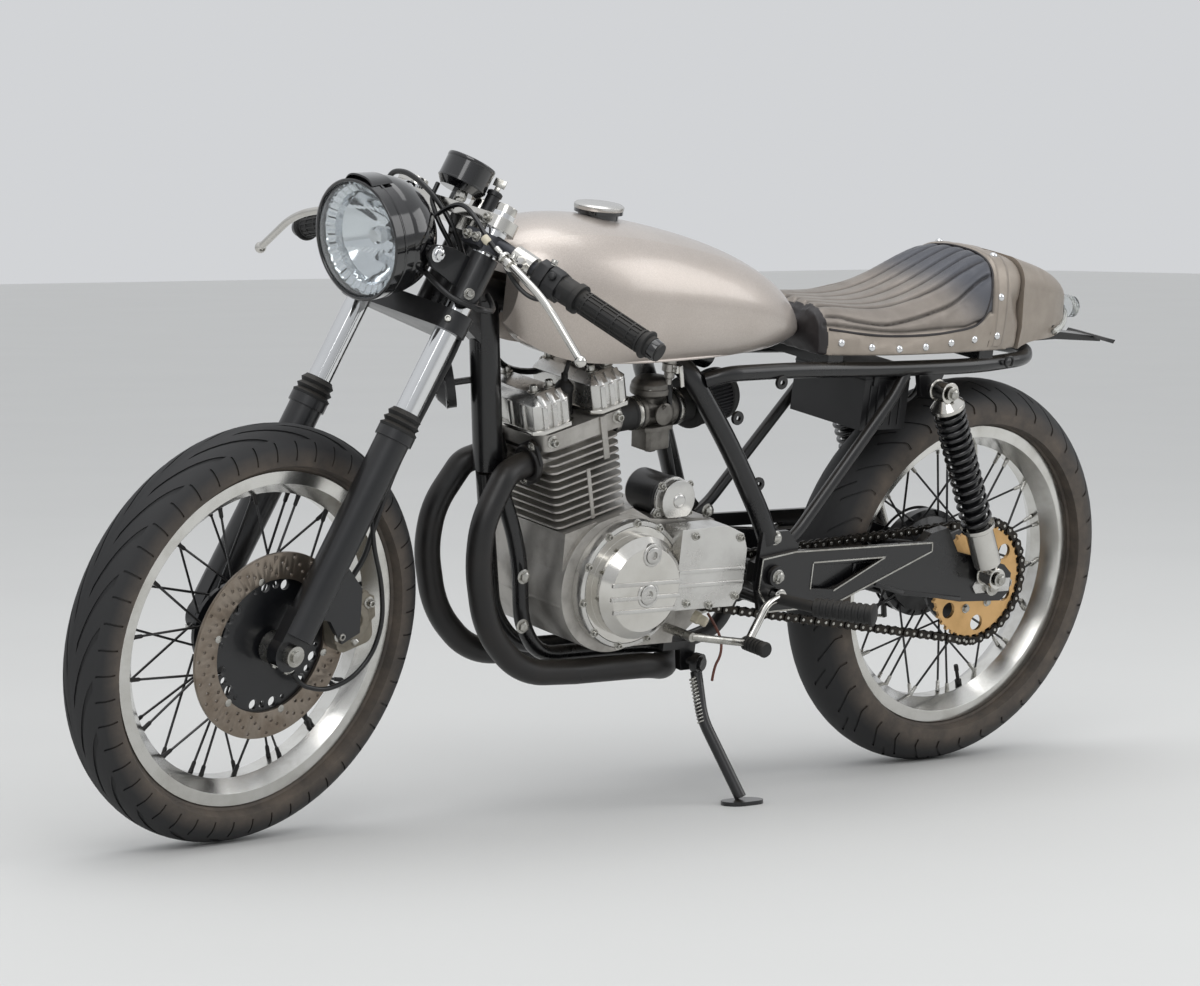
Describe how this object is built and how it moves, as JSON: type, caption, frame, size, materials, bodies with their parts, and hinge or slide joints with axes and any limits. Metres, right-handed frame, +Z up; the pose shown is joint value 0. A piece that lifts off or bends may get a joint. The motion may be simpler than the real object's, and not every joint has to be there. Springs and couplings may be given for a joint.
{
  "type": "cafe racer motorcycle",
  "caption": "Single-cylinder cafe racer with clip-on bars, wire wheels, humped seat and twin shocks, leaning on its side stand; wheels, steering and stand move.",
  "frame": {"origin": "centre of the footprint box on the floor, with the machine leaning to its left on its side stand", "axes": "+X forwards from the rear wheel to the front wheel, +Y to the rider's left, +Z up"},
  "size_m": [1.9744, 0.7482, 0.9707],
  "materials": {
    "tyre_rubber": "matt, dusty brown sidewalls",
    "rim_alloy": "polished",
    "black_enamel": "satin black",
    "brake_steel": "ground, browned",
    "caliper_paint": "grey-gold",
    "sprocket_gold": "gold anodised",
    "chain_steel": "oiled black",
    "chrome_plate": "mirror",
    "engine_alloy": "cast, sand-blasted",
    "polished_alloy": "polished",
    "zinc_steel": "plated",
    "boot_rubber": "matt",
    "grip_rubber": "matt, ribbed",
    "lamp_glass": "clear",
    "tail_glass": "clear",
    "black_plastic": "satin",
    "tank_paint": "champagne metallic",
    "seat_vinyl": "bronze-grey metallic vinyl",
    "filter_cloth": "pleated, oiled",
    "exhaust_black": "high-temperature black",
    "cable_rubber": "gloss black",
    "spring_steel": "gloss black"
  },
  "bodies": {
    "frame": {"rear_axle": "zinc_steel", "rear_brake": "black_enamel", "frame_spine": "black_enamel", "frame_cradle": "black_enamel", "frame_uprights": "black_enamel", "seat_rails": "black_enamel", "swingarm": "black_enamel", "engine_case": "engine_alloy", "cylinder": "engine_alloy", "cylinder_head": "engine_alloy", "cam_covers": "engine_alloy", "generator_cover": "polished_alloy", "sprocket_cover": "engine_alloy", "clutch_cover": "engine_alloy", "carburettor": "engine_alloy", "air_filter": "filter_cloth", "exhaust": "exhaust_black", "fuel_tank": "tank_paint", "fuel_cap": "black_enamel", "seat_pad": "seat_vinyl", "tail_cowl": "tank_paint", "tail_lamp": "tail_glass", "plate_bracket": "black_enamel", "shock_bodies": "polished_alloy", "shock_springs": "spring_steel", "peg_plates": "black_enamel", "foot_pegs": "grip_rubber", "foot_controls": "zinc_steel", "drive_chain": "chain_steel", "electrics": "black_plastic"},
    "steering": {"fork_tubes": "chrome_plate", "fork_sliders": "black_enamel", "fork_boots": "boot_rubber", "bottom_yoke": "black_enamel", "top_yoke": "polished_alloy", "headlight_brackets": "black_enamel", "headlight_shell": "black_enamel", "headlight_lens": "lamp_glass", "speedometer": "black_plastic", "clip_ons": "black_enamel", "hand_controls": "grip_rubber", "levers": "polished_alloy", "front_axle": "zinc_steel", "brake_caliper": "caliper_paint", "front_cables": "cable_rubber"},
    "front_wheel": {"front_tyre": "tyre_rubber", "front_rim": "rim_alloy", "front_hub": "black_enamel", "front_disc": "brake_steel"},
    "rear_wheel": {"rear_tyre": "tyre_rubber", "rear_rim": "rim_alloy", "rear_hub": "black_enamel", "rear_sprocket": "sprocket_gold"},
    "side_stand": {"stand_leg": "black_enamel"}
  },
  "joints": [
    {"name": "steering_turn", "type": "hinge", "parent": "frame", "child": "steering", "pos_m": [0.41991, -0.00447, 0.73265], "axis": [-0.4384, 0.1561, 0.8851], "range_deg": [-38.1, 25.9]},
    {"name": "front_wheel_spin", "type": "hinge", "parent": "steering", "child": "front_wheel", "pos_m": [0.68547, -0.07608, 0.29835], "axis": [-0.0955, 0.9711, -0.2185], "continuous": true},
    {"name": "rear_wheel_spin", "type": "hinge", "parent": "frame", "child": "rear_wheel", "pos_m": [-0.6743, -0.07914, 0.30916], "axis": [0, 0.9848, -0.1736], "continuous": true},
    {"name": "side_stand_fold", "type": "hinge", "parent": "frame", "child": "side_stand", "pos_m": [-0.0943, -0.0099, 0.20658], "axis": [-0.342, 0.9254, -0.1632], "range_deg": [0, 90]}
  ]
}
